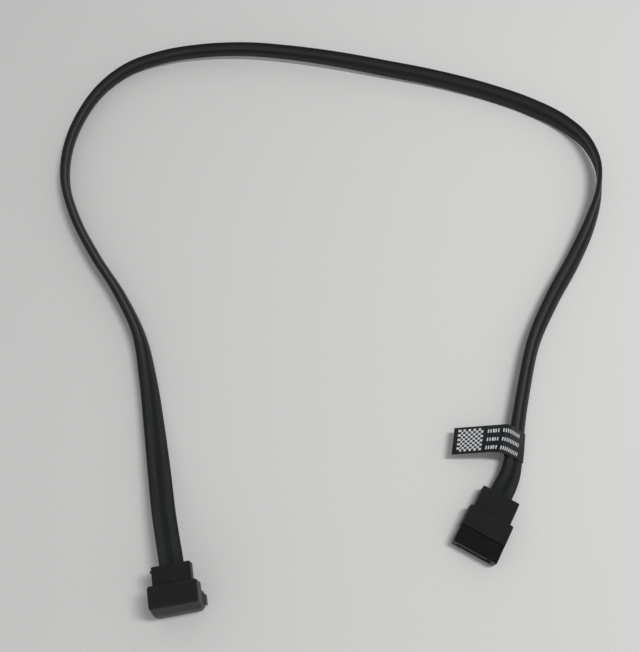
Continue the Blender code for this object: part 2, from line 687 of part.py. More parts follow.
label_rings = [label_ring(at) for at in np.linspace(label_start, label_start + LABEL_HEIGHT, 7)]
add("cable_label", loft("cable_label", label_rings)).data.materials.append(LABEL_FACE)
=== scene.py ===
import math

import bmesh
import bpy
import numpy as np
from mathutils import Matrix, Vector


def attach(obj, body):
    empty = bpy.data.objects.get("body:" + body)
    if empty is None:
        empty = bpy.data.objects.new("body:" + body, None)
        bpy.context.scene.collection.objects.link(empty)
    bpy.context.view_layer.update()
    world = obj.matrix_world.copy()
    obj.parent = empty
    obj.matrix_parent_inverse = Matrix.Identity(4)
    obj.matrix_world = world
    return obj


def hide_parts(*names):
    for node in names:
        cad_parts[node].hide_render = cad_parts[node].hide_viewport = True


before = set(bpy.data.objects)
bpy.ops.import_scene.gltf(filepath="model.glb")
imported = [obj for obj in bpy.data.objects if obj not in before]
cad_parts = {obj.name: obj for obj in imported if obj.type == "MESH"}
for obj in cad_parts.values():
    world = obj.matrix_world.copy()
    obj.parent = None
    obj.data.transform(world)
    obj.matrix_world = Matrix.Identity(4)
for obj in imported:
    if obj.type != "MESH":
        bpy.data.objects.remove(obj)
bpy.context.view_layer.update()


# The camera, from the photograph: it stands over the near side of the cable, tilted into the loop, so that
# the right-angle plug is at the lower left and the straight plug at the right.
PHOTO_SIDES = (640, 652)
CAMERA_PLACE = (-0.0061, -0.0340, 0.2470)
CAMERA_TILT = math.radians(24.0)
FOCAL_PIXELS = 780.0
SENSOR = 36.0
CAMERA_REACH = (0.01, 20.0)

camera_data = bpy.data.cameras.new("photo_camera")
camera_data.sensor_width = SENSOR
camera_data.lens = SENSOR * FOCAL_PIXELS / max(PHOTO_SIDES)
camera_data.clip_start, camera_data.clip_end = CAMERA_REACH
camera = bpy.data.objects.new("photo_camera", camera_data)
camera.location = CAMERA_PLACE
camera.rotation_euler = (CAMERA_TILT, 0.0, 0.0)
bpy.context.scene.collection.objects.link(camera)
bpy.context.scene.camera = camera


# The ribbon: two screened pairs under one extruded jacket of soft black PVC, with a shallow groove between
# them on both faces. It leaves the right-angle plug's boot, stands on edge round the loop, turns over and
# goes into the straight plug's boot.
RIBBON_WIDTH = 0.0072
RIBBON_THICKNESS = 0.0018
RIBBON_WEB = 0.0008
RIBBON_STEP = 0.0010
RIBBON_IN_BOOT = 0.0044
RIBBON_SMOOTH = 40.0

# The section has this many points to a quarter of a lobe. A lobe's outer side is fuller than half an
# ellipse, and its inner side starts where it stands clear of the web.
LOBE_POINTS = 9
LOBE_FULLNESS = 0.83
WEB_CLEAR = 1.08

# How many points are worked out for each chosen one, before the even ones are taken.
CURVE_POINTS = 40

# Where each plug lies, and how far back and how high in it the ribbon comes out.
STRAIGHT_PLACE = Matrix.Translation((0.0404, -0.0009, 0.0)) @ Matrix.Rotation(math.radians(-29.2), 4, "Z")
STRAIGHT_EXIT = 0.0200
STRAIGHT_MIDDLE = 0.0031
ANGLED_PLACE = Matrix.Translation((-0.0470, -0.0181, 0.0)) @ Matrix.Rotation(math.radians(10.2), 4, "Z")
ANGLED_EXIT = 0.0132
ANGLED_CABLE_HEIGHT = 0.0112

# The middle of the ribbon from plug to plug, point by point in metres, and its turn about its own run in
# degrees: 0 is flat, -90 stands on edge, and past that the other face comes up.
ROUTE = (
    (-0.0512, 0.0019, 0.0099, 0),
    (-0.0533, 0.0099, 0.0084, -4),
    (-0.0562, 0.0234, 0.0064, -20),
    (-0.0595, 0.0388, 0.0045, -35),
    (-0.0630, 0.0548, 0.0037, -50),
    (-0.0675, 0.0708, 0.0036, -64),
    (-0.0758, 0.0865, 0.0036, -67),
    (-0.0862, 0.1018, 0.0036, -70),
    (-0.0958, 0.1189, 0.0036, -76),
    (-0.1009, 0.1332, 0.0036, -83),
    (-0.1017, 0.1487, 0.0037, -90),
    (-0.0985, 0.1638, 0.0037, -95),
    (-0.0918, 0.1775, 0.0037, -97),
    (-0.0823, 0.1870, 0.0038, -96),
    (-0.0698, 0.1922, 0.0044, -95),
    (-0.0533, 0.1952, 0.0049, -93),
    (-0.0353, 0.1957, 0.0052, -90),
    (-0.0173, 0.1938, 0.0052, -87),
    (0.0007, 0.1906, 0.0051, -82),
    (0.0197, 0.1865, 0.0046, -78),
    (0.0402, 0.1817, 0.0041, -77),
    (0.0597, 0.1755, 0.0036, -75),
    (0.0752, 0.1685, 0.0036, -74),
    (0.0867, 0.1606, 0.0041, -79),
    (0.0947, 0.1506, 0.0049, -92),
    (0.0977, 0.1394, 0.0053, -101),
    (0.0963, 0.1275, 0.0051, -111),
    (0.0917, 0.1151, 0.0042, -126),
    (0.0842, 0.1007, 0.0032, -133),
    (0.0744, 0.0846, 0.0033, -132),
    (0.0664, 0.0689, 0.0034, -129),
    (0.0613, 0.0524, 0.0034, -130),
    (0.0578, 0.0385, 0.0033, -134),
    (0.0559, 0.0299, 0.0033, -143),
    (0.0537, 0.0229, 0.0032, -159),
)


def whole_route():
    """The chosen points between the two straight ends that sit in the boots, turns in radians."""
    ends = []
    for place, mouth, height in (
        (ANGLED_PLACE, ANGLED_EXIT, ANGLED_CABLE_HEIGHT),
        (STRAIGHT_PLACE, STRAIGHT_EXIT, STRAIGHT_MIDDLE),
    ):
        inside = place @ Vector((0.0, mouth - RIBBON_IN_BOOT, height))
        ends.append((inside, place @ Vector((0.0, mouth, height))))
    points = [(*point, 0.0) for point in ends[0]]
    points += [(x, y, z, math.radians(turn)) for x, y, z, turn in ROUTE]
    points += [(*point, -math.pi) for point in reversed(ends[1])]
    return np.array(points)


def smooth_route(points, step):
    """Even points on the cubic curve through the chosen ones, and how far along it each one is."""
    reach = np.linalg.norm(np.diff(points[:, :3], axis=0), axis=1)
    at = np.concatenate(([0.0], np.cumsum(reach)))
    slope = np.gradient(points, at, axis=0)
    fine_at = np.linspace(0.0, at[-1], CURVE_POINTS * len(points))
    index = np.clip(np.searchsorted(at, fine_at, side="right") - 1, 0, len(at) - 2)
    span = (at[index + 1] - at[index])[:, None]
    t = (fine_at - at[index])[:, None] / span
    fine = (
        (2 * t**3 - 3 * t**2 + 1) * points[index]
        + (t**3 - 2 * t**2 + t) * span * slope[index]
        + (3 * t**2 - 2 * t**3) * points[index + 1]
        + (t**3 - t**2) * span * slope[index + 1]
    )
    run = np.concatenate(([0.0], np.cumsum(np.linalg.norm(np.diff(fine[:, :3], axis=0), axis=1))))
    even = np.linspace(0.0, run[-1], round(run[-1] / step) + 1)
    return np.column_stack([np.interp(even, run, column) for column in fine.T]), even


route, along = smooth_route(whole_route(), RIBBON_STEP)


def station(at):
    """The ribbon's middle at a distance along it, and the ways along, across and through it there."""
    here, ahead, behind = (
        np.array([np.interp(place, along, column) for column in route.T])
        for place in (at, min(at + RIBBON_STEP, along[-1]), max(at - RIBBON_STEP, 0.0))
    )
    run = Vector(ahead[:3] - behind[:3]).normalized()
    side = run.cross(Vector((0, 0, 1))).normalized()
    lift = side.cross(run)
    across = side * math.cos(here[3]) + lift * math.sin(here[3])
    through = lift * math.cos(here[3]) - side * math.sin(here[3])
    return Vector(here[:3]), run, across, through


def ribbon_section():
    """Two lobes with full outer sides, and the web of the groove between them, turning clockwise."""
    lobe, edge = RIBBON_WIDTH / 4, RIBBON_THICKNESS / 2
    quarter = np.linspace(0.0, math.pi / 2, LOBE_POINTS)
    full = LOBE_FULLNESS
    outer = [(lobe + lobe * math.cos(a) ** full, edge * math.sin(a) ** full) for a in quarter[::-1]]
    inner = [(lobe - lobe * math.cos(a), edge * math.sin(a)) for a in quarter]
    groove = [(0.0, RIBBON_WEB / 2)] + [point for point in inner if point[1] > RIBBON_WEB / 2 * WEB_CLEAR]
    upper_right = groove + outer[1:]
    lower_right = [(x, -z) for x, z in reversed(upper_right[:-1])]
    right = upper_right + lower_right
    return right + [(-x, -z) for x, z in right[1:-1]]


def skin(name, rings, ring_runs):
    """A closed skin over rings of points, with a UV map that runs round them and along them, 0 to 1."""
    count = len(rings[0])
    shape = bmesh.new()
    uv = shape.loops.layers.uv.new("UVMap")
    placed = [[shape.verts.new(point) for point in ring] for ring in rings]
    middle = np.array(rings[len(rings) // 2])
    steps = np.linalg.norm(np.diff(np.vstack((middle, middle[:1])), axis=0), axis=1)
    around = np.concatenate(([0.0], np.cumsum(steps))) / steps.sum()
    up = np.array(ring_runs) / ring_runs[-1]
    for j in range(len(placed) - 1):
        for i in range(count):
            after = (i + 1) % count
            corners = (placed[j][i], placed[j][after], placed[j + 1][after], placed[j + 1][i])
            face = shape.faces.new(corners)
            for loop, where in zip(face.loops, ((i, j), (i + 1, j), (i + 1, j + 1), (i, j + 1))):
                loop[uv].uv = (around[where[0]], up[where[1]])
    shape.faces.new(placed[0])
    shape.faces.new(placed[-1][::-1])
    bmesh.ops.recalc_face_normals(shape, faces=shape.faces)
    mesh = bpy.data.meshes.new(name)
    shape.to_mesh(mesh)
    shape.free()
    piece = bpy.data.objects.new(name, mesh)
    bpy.context.scene.collection.objects.link(piece)
    return piece


def pick(piece):
    """Makes a piece the only one selected, and the active one."""
    bpy.ops.object.select_all(action="DESELECT")
    bpy.context.view_layer.objects.active = piece
    piece.select_set(True)


def finish_shading(piece, angle):
    """Smooths a piece, with a break wherever two faces meet at more than the angle in degrees."""
    pick(piece)
    bpy.ops.object.shade_smooth_by_angle(angle=math.radians(angle))


section = ribbon_section()
rings = []
for at in along:
    middle, run, across, through = station(at)
    rings.append([middle + across * x + through * z for x, z in section])
ribbon = skin("ribbon", rings, along)
finish_shading(ribbon, RIBBON_SMOOTH)


def linear(colour):
    """An sRGB hex value as the linear colour that a shader takes."""
    parts = [int(colour[i : i + 2], 16) / 255 for i in (0, 2, 4)]
    return (*[c / 12.92 if c <= 0.04045 else ((c + 0.055) / 1.055) ** 2.4 for c in parts], 1.0)


def add_node(tree, kind, sockets=None, **settings):
    """Adds a node with its settings. A socket is given a value, or the output that feeds it.

    A mix goes by number: 0 is its factor, 2 and 3 its two numbers, and 6 and 7 its two colours. Its first
    output is the mixed number, and output 2 the mixed colour.
    """
    node = tree.nodes.new(kind)
    for name, value in settings.items():
        setattr(node, name, value)
    for name, value in (sockets or {}).items():
        if isinstance(value, bpy.types.NodeSocket):
            tree.links.new(value, node.inputs[name])
        else:
            node.inputs[name].default_value = value
    return node


def start_material(name):
    """An empty material with its shader, ready for its own pattern."""
    material = bpy.data.materials.new(name)
    material.use_nodes = True
    return material, material.node_tree, material.node_tree.nodes["Principled BSDF"]


# Extruded PVC jacket: a satin skin with fine lines drawn along it by the die and a faint cloudy bloom. The
# crest of each lobe keeps the paler tone as a painted highlight, and the groove and the edges are painted
# darker as painted shade. The die's lines are finer than a tenth of a millimetre, and are drawn at 0.2 mm so
# that they show.
JACKET_DRAW_LINE = 0.00020
JACKET_DRAW_RUN = 0.020
JACKET_CLOUD = 0.006
jacket, tree, shader = start_material("extruded_pvc_jacket")
ring_length = np.linalg.norm(np.diff(np.array(section + section[:1]), axis=0), axis=1).sum()
uv = add_node(tree, "ShaderNodeUVMap", uv_map="UVMap")
drawn = add_node(
    tree,
    "ShaderNodeMapping",
    {"Vector": uv.outputs[0], "Scale": (ring_length / JACKET_DRAW_LINE, along[-1] / JACKET_DRAW_RUN, 1.0)},
)
lines = add_node(tree, "ShaderNodeTexNoise", {"Vector": drawn.outputs[0], "Scale": 1.0, "Detail": 3.0})
place = add_node(tree, "ShaderNodeTexCoord")
cloud = add_node(
    tree,
    "ShaderNodeTexNoise",
    {"Vector": place.outputs["Object"], "Scale": 1 / JACKET_CLOUD, "Detail": 4.0, "Roughness": 0.6},
)
bloom = add_node(
    tree,
    "ShaderNodeMix",
    {0: cloud.outputs["Fac"], 6: linear("1B1E1E"), 7: linear("262A29")},
    data_type="RGBA",
)
# Round the section, groove and edge take turns every quarter, with a crest an eighth on from each of them.
# The painted highlight starts and is full at these shares of the way to the crest; nearer the groove and the
# edges the colour turns to painted shade.
CREST_AT = 1 / 8
HIGHLIGHT_FROM, HIGHLIGHT_FULL = 0.35 * CREST_AT, 0.75 * CREST_AT
around = add_node(tree, "ShaderNodeSeparateXYZ", {"Vector": uv.outputs[0]})
crest = add_node(tree, "ShaderNodeMath", {0: around.outputs["X"], 1: CREST_AT}, operation="PINGPONG")
painted_crest_highlight = add_node(
    tree,
    "ShaderNodeMapRange",
    {"Value": crest.outputs[0], "From Min": HIGHLIGHT_FROM, "From Max": HIGHLIGHT_FULL},
    interpolation_type="SMOOTHSTEP",
)
# The groove and the edges get a near-black painted shade, and the crests keep the paler tone as a painted
# highlight.
tone = add_node(
    tree,
    "ShaderNodeMix",
    {0: painted_crest_highlight.outputs[0], 6: linear("131515"), 7: bloom.outputs[2]},
    data_type="RGBA",
)
gloss = add_node(
    tree,
    "ShaderNodeMapRange",
    {"Value": lines.outputs["Fac"], "From Min": 0.3, "From Max": 0.7, "To Min": 0.37, "To Max": 0.50},
)
relief = add_node(
    tree,
    "ShaderNodeBump",
    {"Height": lines.outputs["Fac"], "Strength": 0.25, "Distance": 0.00004},
)
tree.links.new(tone.outputs[2], shader.inputs["Base Color"])
tree.links.new(gloss.outputs[0], shader.inputs["Roughness"])
tree.links.new(relief.outputs[0], shader.inputs["Normal"])
shader.inputs["IOR"].default_value = 1.50
shader.inputs["Specular IOR Level"].default_value = 0.33
ribbon.data.materials.append(jacket)

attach(ribbon, "root")
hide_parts("ribbon_cable")


# The label: one strip of black polyester film folded round the ribbon beside the straight plug, its two
# ends stuck together as a flag. Its print is kept to plain bars and a plain chequer.
LABEL_FROM_BOOT = 0.0175
LABEL_HEIGHT = 0.0096
LABEL_FILM = 0.00015
LABEL_SLIT = 0.00010
LABEL_GAP = 0.00010
LABEL_SMOOTH = 50.0
LABEL_EDGE_POINTS = 13
LABEL_BACK_TURN = math.radians(150)
LABEL_BACK_POINTS = 5

# The flag leaves the ribbon at its root, bends over and runs out straight. It was folded a little askew, so
# its bend and its length change by these shares of the way across the film.
LABEL_ROOT = 0.0012
LABEL_BEND_RADIUS = 0.0042
LABEL_BEND_SKEW = 0.33
LABEL_BEND_STEPS = 10
LABEL_FLAG = 0.0138
LABEL_FLAG_SKEW = 0.38
LABEL_FLAG_WAY = (-0.975, -0.015, -0.220)

# The film has a face for each cell of this size, so that the print has clean edges. A trial ring with many
# points gives the strip's length first.
PRINT_GRAIN = 0.0002
LABEL_TRIAL_POINTS = 400


def even_path(points, count):
    """Even points along a bent line."""
    points = np.array(points)
    run = np.concatenate(([0.0], np.cumsum(np.linalg.norm(np.diff(points, axis=0), axis=1))))
    even = np.linspace(0.0, run[-1], count)
    return [Vector([np.interp(at, run, column) for column in points.T]) for at in even]


label_start = along[-1] - RIBBON_IN_BOOT - LABEL_FROM_BOOT - LABEL_HEIGHT / 2


def label_ring(at, count):
    """The film at one station: along the flag, round the ribbon and back, outside and then inside."""
    middle, run, across, through = station(at)
    inner = RIBBON_THICKNESS / 2 + LABEL_GAP
    side = (RIBBON_WIDTH - RIBBON_THICKNESS) / 2
    below = at - label_start - LABEL_HEIGHT / 2
    root = RIBBON_WIDTH / 2 + LABEL_GAP + LABEL_ROOT
    point = middle - across * root - through * (inner - LABEL_SLIT / 2)
    start, end = -across, Vector(LABEL_FLAG_WAY).normalized()
    bend, steps = start.angle(end), LABEL_BEND_STEPS
    flag = [(point, start)]
    for step in range(1, steps + 1):
        way = start.slerp(end, step / steps)
        point = point + way * ((LABEL_BEND_RADIUS + LABEL_BEND_SKEW * below) * bend / steps)
        flag.append((point, way))
    flag.append((point + end * (LABEL_FLAG - LABEL_FLAG_SKEW * below), end))

    def ply(offset):
        """One side of a ply of the flag, set off from the flag's middle."""
        return [place + way.cross(run).normalized() * offset for place, way in flag]

    def wrap(reach):
        """The way round the ribbon, from the flag's printed ply to its plain one."""
        arc = np.linspace(-math.pi / 2, math.pi / 2, LABEL_EDGE_POINTS)
        turned = [(side + reach * math.cos(a), reach * math.sin(a)) for a in arc]
        back = np.linspace(math.pi / 2, LABEL_BACK_TURN, LABEL_BACK_POINTS)
        around = [(-side + reach * math.cos(a), reach * math.sin(a)) for a in back]
        return [middle + across * x + through * y for x, y in [(-side, -reach)] + turned + around]

    near, far = LABEL_SLIT / 2, LABEL_SLIT / 2 + LABEL_FILM
    outside = ply(far)[::-1] + wrap(inner + LABEL_FILM) + ply(-far)
    inside = ply(-near)[::-1] + wrap(inner)[::-1] + ply(near)
    return even_path(outside, count) + even_path(inside, count)


label_runs = np.linspace(0.0, LABEL_HEIGHT, round(LABEL_HEIGHT / PRINT_GRAIN) + 1)
strip = np.array(label_ring(label_start, LABEL_TRIAL_POINTS)[:LABEL_TRIAL_POINTS])
strip_length = np.linalg.norm(np.diff(strip, axis=0), axis=1).sum()
strip_points = round(strip_length / PRINT_GRAIN) + 1
label = skin("label", [label_ring(label_start + at, strip_points) for at in label_runs], label_runs)
finish_shading(label, LABEL_SMOOTH)

# Polyester film, gloss calendered: near black, with a smooth broad sheen and barely any grain. The grain is
# much finer in truth, and is drawn at 1.1 mm so that it shows at all.
FILM_GRAIN = 0.00111
film, tree, shader = start_material("polyester_film")
place = add_node(tree, "ShaderNodeTexCoord")
grain = add_node(
    tree,
    "ShaderNodeTexNoise",
    {"Vector": place.outputs["Object"], "Scale": 1 / FILM_GRAIN, "Detail": 3.0},
)
tone = add_node(
    tree,
    "ShaderNodeMix",
    {0: grain.outputs["Fac"], 6: linear("0E1115"), 7: linear("15191D")},
    data_type="RGBA",
)
gloss = add_node(
    tree, "ShaderNodeMapRange", {"Value": grain.outputs["Fac"], "To Min": 0.34, "To Max": 0.46}
)
relief = add_node(
    tree, "ShaderNodeBump", {"Height": grain.outputs["Fac"], "Strength": 0.1, "Distance": 0.00003}
)
tree.links.new(tone.outputs[2], shader.inputs["Base Color"])
tree.links.new(gloss.outputs[0], shader.inputs["Roughness"])
tree.links.new(relief.outputs[0], shader.inputs["Normal"])
label.data.materials.append(film)

# White thermal print: a flat chalky ink, thin in spots about 0.4 mm wide.
INK_SPOT = 0.0004
ink, tree, shader = start_material("white_label_print")
place = add_node(tree, "ShaderNodeTexCoord")
thin = add_node(
    tree,
    "ShaderNodeTexNoise",
    {"Vector": place.outputs["Object"], "Scale": 1 / INK_SPOT, "Detail": 2.0},
)
tone = add_node(
    tree,
    "ShaderNodeMix",
    {0: thin.outputs["Fac"], 6: linear("A2A6A8"), 7: linear("D2D4D5")},
    data_type="RGBA",
)
tree.links.new(tone.outputs[2], shader.inputs["Base Color"])
shader.inputs["Roughness"].default_value = 0.6
label.data.materials.append(ink)

# The print, by its distances from the flag's free end and from the far edge: a square of plain chequer, and
# three rows of short bars in two groups.
CHEQUER_START = (0.0015, 0.0008)
CHEQUER_SIDE = 0.0080
CHEQUER_CELL = 0.0008
ROW_TOPS = (0.0015, 0.0045, 0.0075)
ROW_HEIGHT = 0.0012
ROW_GROUPS = ((0.0109, 0.0147), (0.0157, 0.0236))
BAR_PITCH = 0.0008
BAR_WIDTH = 0.0004


def is_printed(out, down):
    """Whether the print covers a spot of the film."""
    right, low = out - CHEQUER_START[0], down - CHEQUER_START[1]
    if 0 <= right < CHEQUER_SIDE and 0 <= low < CHEQUER_SIDE:
        return (int(right / CHEQUER_CELL) + int(low / CHEQUER_CELL)) % 2 == 0
    in_row = any(top <= down < top + ROW_HEIGHT for top in ROW_TOPS)
    starts = [start for start, end in ROW_GROUPS if start <= out < end]
    return in_row and bool(starts) and (out - starts[0]) % BAR_PITCH < BAR_WIDTH


# The skin's faces run ring after ring, and in each ring the film's outside comes first.
ring_points = 2 * strip_points
for j in range(len(label_runs) - 1):
    for i in range(strip_points - 1):
        if is_printed((i + 0.5) * PRINT_GRAIN, (j + 0.5) * PRINT_GRAIN):
            label.data.polygons[j * ring_points + i].material_index = 1

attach(label, "root")
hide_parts("cable_label")


# The insulator of each plug: a block of black glass-filled nylon with the L-shaped slot that takes the
# drive's tongue, seven contact channels in the slot's lower wall, and a tongue behind, held in the grip.
HOUSING_WIDTH = 0.0142
HOUSING_THICKNESS = 0.0054
HOUSING_LENGTH = 0.0058
HOUSING_EDGE = 0.0003
HOUSING_CORNER = 0.0011
EDGE_STEPS = 4
MOULD_SMOOTH = 35.0

# The room between moulded pieces and beside the metal, and the hairline seen where two mouldings meet.
FIT = 0.0003
FINE_FIT = 0.00015
MOULD_LINE = 0.00004

GRIP_WIDTH = 0.0143
GRIP_WALL = 0.00105
TONGUE_WIDTH = GRIP_WIDTH - 2 * (GRIP_WALL + FIT)
TONGUE_THICKNESS = 0.0034
TONGUE_LENGTH = 0.0025
TONGUE_END = HOUSING_LENGTH + TONGUE_LENGTH
SLOT_WIDTH = 0.0108
SLOT_HEIGHT = 0.0017
SLOT_DEPTH = 0.0050
SLOT_LEAD_IN = 0.00020
KEY_WIDTH = 0.0013
KEY_HEIGHT = 0.0011
CONTACT_COUNT = 7
CONTACT_PITCH = 0.00127
CONTACT_WIDTH = 0.00065
CONTACT_THICKNESS = 0.00025
CONTACT_SETBACK = 0.0009

# The rib on each side of the right-angle plug's insulator, with a slope at the end next to the grip.
RIB_PROUD = 0.00070
RIB_START = -0.0016
RIB_END = 0.0013
RIB_SLOPE = 0.0024
RIB_EDGE = 0.00015
RIB_EDGE_STEPS = 3

# An insulator is shaped with Y running back from its mating face and Z = 0 at the slot's middle. The
# straight plug's lies flat, and the right-angle plug's stands on its mating face.
STRAIGHT_FRAME = STRAIGHT_PLACE @ Matrix.Translation((0.0, 0.0, STRAIGHT_MIDDLE))
ANGLED_MIDDLE = HOUSING_THICKNESS / 2
ANGLED_FRAME = (
    ANGLED_PLACE @ Matrix.Translation((0.0, ANGLED_MIDDLE, 0.0)) @ Matrix.Rotation(math.radians(90), 4, "X")
)


def start_block(name, low, high):
    """A cube primitive at its size and place in its plug's own frame, ready to be shaped."""
    bpy.ops.object.select_all(action="DESELECT")
    low, high = Vector(low), Vector(high)
    bpy.ops.mesh.primitive_cube_add(size=1.0, location=(low + high) / 2, scale=high - low)
    bpy.ops.object.transform_apply()
    piece = bpy.context.object
    piece.name = piece.data.name = name
    return piece


def pick_edges(piece, chosen):
    """Goes into edit mode with the edges selected whose two ends pass the test, and faces they enclose."""
    pick(piece)
    bpy.ops.object.mode_set(mode="EDIT")
    bpy.ops.mesh.select_mode(type="EDGE")
    bpy.ops.mesh.select_all(action="DESELECT")
    shape = bmesh.from_edit_mesh(piece.data)
    for edge in shape.edges:
        edge.select_set(chosen(edge.verts[0].co, edge.verts[1].co))
    shape.select_flush(True)
    bmesh.update_edit_mesh(piece.data)


def round_edges(piece, radius, segments, chosen):
    """Rounds the chosen edges as the mould does."""
    pick_edges(piece, chosen)
    bpy.ops.mesh.bevel(offset=radius, segments=segments, profile=0.5, affect="EDGES")
    bpy.ops.object.mode_set(mode="OBJECT")


def combine(piece, others, operation):
    """Joins other shapes to a piece, or cuts them out of it, and removes them."""
    for other in others:
        modifier = piece.modifiers.new("mould", "BOOLEAN")
        modifier.operation = operation
        modifier.object = other
        pick(piece)
        bpy.ops.object.modifier_apply(modifier=modifier.name)
        bpy.data.objects.remove(other)
    return piece


def flared_block(name, low, high, flare):
    """A cutter and a second one that opens its low-Y end, at the mating face, all round as a lead-in."""
    piece = start_block(name, low, high)
    mouth = start_block(name + "_mouth", (low[0], -flare, low[2]), (high[0], flare, high[2]))
    for vertex in mouth.data.vertices:
        if vertex.co.y < 0:
            vertex.co.x += math.copysign(2 * flare, vertex.co.x - (low[0] + high[0]) / 2)
            vertex.co.z += math.copysign(2 * flare, vertex.co.z - (low[2] + high[2]) / 2)
    return [piece, mouth]


def settle(piece, place, material, slot, *nodes):
    """Puts a finished piece where its plug lies, shades it, gives it its material and hides the parts it
    stands for.
    """
    piece.data.transform(place)
    finish_shading(piece, MOULD_SMOOTH)
    weighted = piece.modifiers.new("even_shading", "WEIGHTED_NORMAL")
    weighted.keep_sharp = True
    bpy.ops.object.modifier_apply(modifier=weighted.name)
    piece.data.materials.clear()
    piece.data.materials.append(material)
    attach(piece, "root")
    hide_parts(*nodes)


def housing_block(name, ribs):
    """The insulator in its own frame, with or without the right-angle plug's ribs and cut corner."""
    half = HOUSING_THICKNESS / 2
    housing = start_block(name, (-HOUSING_WIDTH / 2, 0, -half), (HOUSING_WIDTH / 2, HOUSING_LENGTH, half))
    if ribs:
        round_edges(housing, HOUSING_CORNER, 1, lambda a, b: min(a.x, b.x, a.z, b.z) > FIT)
    round_edges(
        housing, HOUSING_EDGE, EDGE_STEPS, lambda a, b: abs(a.y - b.y) > half or max(a.y, b.y) < FIT
    )
    joined = []
    low = (-TONGUE_WIDTH / 2, HOUSING_LENGTH / 2, -TONGUE_THICKNESS / 2)
    joined.append(start_block("tongue", low, (TONGUE_WIDTH / 2, TONGUE_END, TONGUE_THICKNESS / 2)))
    if ribs:
        joined.append(side_rib_bar())
    combine(housing, joined, "UNION")

    side, top = SLOT_WIDTH / 2, SLOT_HEIGHT / 2
    cutters = flared_block("slot", (-side, -FIT, -top), (side, SLOT_DEPTH, top), SLOT_LEAD_IN)
    key_low = (side - KEY_WIDTH, -FIT, 0.0)
    cutters += flared_block("key", key_low, (side, SLOT_DEPTH, top + KEY_HEIGHT), SLOT_LEAD_IN)
    reach, depth = CONTACT_WIDTH / 2 + FINE_FIT, CONTACT_THICKNESS / 2 + FINE_FIT
    for number in range(CONTACT_COUNT):
        middle = (number - (CONTACT_COUNT - 1) / 2) * CONTACT_PITCH
        low = (middle - reach, CONTACT_SETBACK - FIT, -top - depth)
        cutters.append(start_block("channel", low, (middle + reach, TONGUE_END + FIT, -top + depth)))
    return combine(housing, cutters, "DIFFERENCE")


# Moulded glass-filled nylon: darker and smoother than the grip, with faint cloudy flow marks a few
# millimetres wide. The glass fibres, about 0.01 mm thick, are drawn ten times as coarse so that they show.
NYLON_FLOW = 0.00238
NYLON_FIBRE = 0.00011
insulator, tree, shader = start_material("moulded_glass_filled_nylon")
place = add_node(tree, "ShaderNodeTexCoord")
flow = add_node(
    tree,
    "ShaderNodeTexNoise",
    {"Vector": place.outputs["Object"], "Scale": 1 / NYLON_FLOW, "Detail": 5.0},
)
fibre = add_node(
    tree,
    "ShaderNodeTexNoise",
    {"Vector": place.outputs["Object"], "Scale": 1 / NYLON_FIBRE, "Detail": 2.0},
)
tone = add_node(
    tree,
    "ShaderNodeMix",
    {0: flow.outputs["Fac"], 6: linear("0B0B0C"), 7: linear("141516")},
    data_type="RGBA",
)
gloss = add_node(tree, "ShaderNodeMapRange", {"Value": flow.outputs["Fac"], "To Min": 0.36, "To Max": 0.50})
relief = add_node(
    tree, "ShaderNodeBump", {"Height": fibre.outputs["Fac"], "Strength": 0.12, "Distance": 0.00003}
)
tree.links.new(tone.outputs[2], shader.inputs["Base Color"])
tree.links.new(gloss.outputs[0], shader.inputs["Roughness"])
tree.links.new(relief.outputs[0], shader.inputs["Normal"])
shader.inputs["Specular IOR Level"].default_value = 0.30


def side_rib_bar():
    """The bar whose two ends stand out as a rib on each side of the right-angle plug's insulator."""
    side = HOUSING_WIDTH / 2 + RIB_PROUD
    bar = start_block("ribs", (-side, 0.0, RIB_START), (side, HOUSING_LENGTH, RIB_END))
    pick_edges(bar, lambda a, b: True)
    bpy.ops.mesh.bisect(plane_co=(0.0, HOUSING_LENGTH - RIB_SLOPE, 0.0), plane_no=(0.0, 1.0, 0.0))
    bpy.ops.object.mode_set(mode="OBJECT")
    for vertex in bar.data.vertices:
        if vertex.co.y > HOUSING_LENGTH - FIT:
            vertex.co.x -= math.copysign(RIB_PROUD + MOULD_LINE, vertex.co.x)

    def is_outer(a, b):
        return abs(a.y - b.y) > FIT and min(abs(a.x), abs(b.x)) > side - FIT

    round_edges(bar, RIB_EDGE, RIB_EDGE_STEPS, is_outer)
    return bar


straight_housing = housing_block("straight_insulator", ribs=False)
settle(straight_housing, STRAIGHT_FRAME, insulator, "insulator", "straight_plug_housing")
angled_housing = housing_block("angled_insulator", ribs=True)
settle(angled_housing, ANGLED_FRAME, insulator, "insulator", "angled_plug_housing")


# The straight plug's grip: soft black PVC moulded over the insulator's tongue and the soldered wires, with
# a lower boot behind it that the ribbon leaves by. The boot's root runs into the grip, to be one with it.
BOOT_HEIGHT = 0.0052
BOOT_EDGE = 0.0005
BOOT_ROOT = 0.0010
CORE_RADIUS = 0.00038
CONTACT_ROW = (CONTACT_COUNT - 1) * CONTACT_PITCH + CONTACT_WIDTH
WIRE_ROOM_HEIGHT = 0.0026
WIRE_ROOM_SIDE = CONTACT_ROW / 2 + CORE_RADIUS + FIT
CHANNEL_RINGS = 7
GRIP_EDGE_STEPS = 5
STRAIGHT_GRIP_LENGTH = 0.0066
STRAIGHT_GRIP_START = HOUSING_LENGTH + MOULD_LINE
STRAIGHT_GRIP_END = HOUSING_LENGTH + FIT + STRAIGHT_GRIP_LENGTH
STRAIGHT_GRIP_HEIGHT = 0.0062
STRAIGHT_GRIP_EDGE = 0.0006
STRAIGHT_BOOT_WIDTH = 0.0121


def boot_block(width, start, end, middle):
    """The lower block behind a grip, rounded where it shows."""
    half = BOOT_HEIGHT / 2
    low = (-width / 2, start - BOOT_ROOT, middle - half)
    boot = start_block("boot", low, (width / 2, end, middle + half))
    round_edges(
        boot, BOOT_EDGE, EDGE_STEPS, lambda a, b: abs(a.y - b.y) > half or min(a.y, b.y) > end - FIT
    )
    return boot


